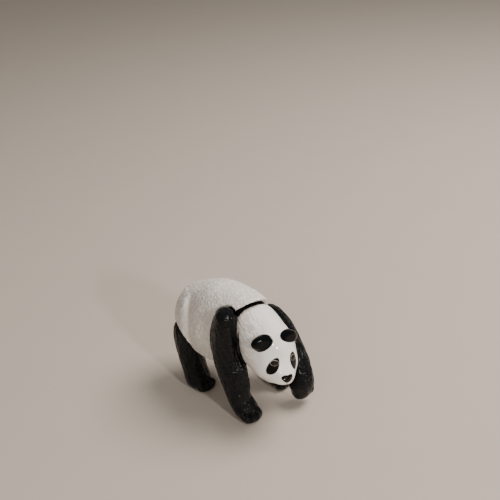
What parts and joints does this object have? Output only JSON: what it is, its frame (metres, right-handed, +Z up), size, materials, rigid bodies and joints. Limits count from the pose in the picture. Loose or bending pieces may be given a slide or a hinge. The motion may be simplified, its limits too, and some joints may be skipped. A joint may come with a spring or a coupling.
{
  "type": "panda figurine",
  "caption": "Small moulded plastic panda, walking with its head low and a forepaw raised, that stands on its other feet as an ornament.",
  "frame": {"origin": "middle of the footprint of the whole figurine, on the surface that its feet stand on", "axes": "+Z up, the nose points to -Y, the animal's left side is +X"},
  "size_m": [0.027, 0.0488, 0.0384],
  "materials": {
    "white_plastic": "warm white satin plastic with fine moulded fur",
    "black_plastic": "glossy black plastic with moulded fur furrows"
  },
  "bodies": {
    "root": {"barrel": "white_plastic", "collar": "black_plastic", "head": "white_plastic", "right_foreleg": "black_plastic", "left_foreleg": "black_plastic", "right_hind_leg": "black_plastic", "left_hind_leg": "black_plastic"}
  },
  "joints": []
}
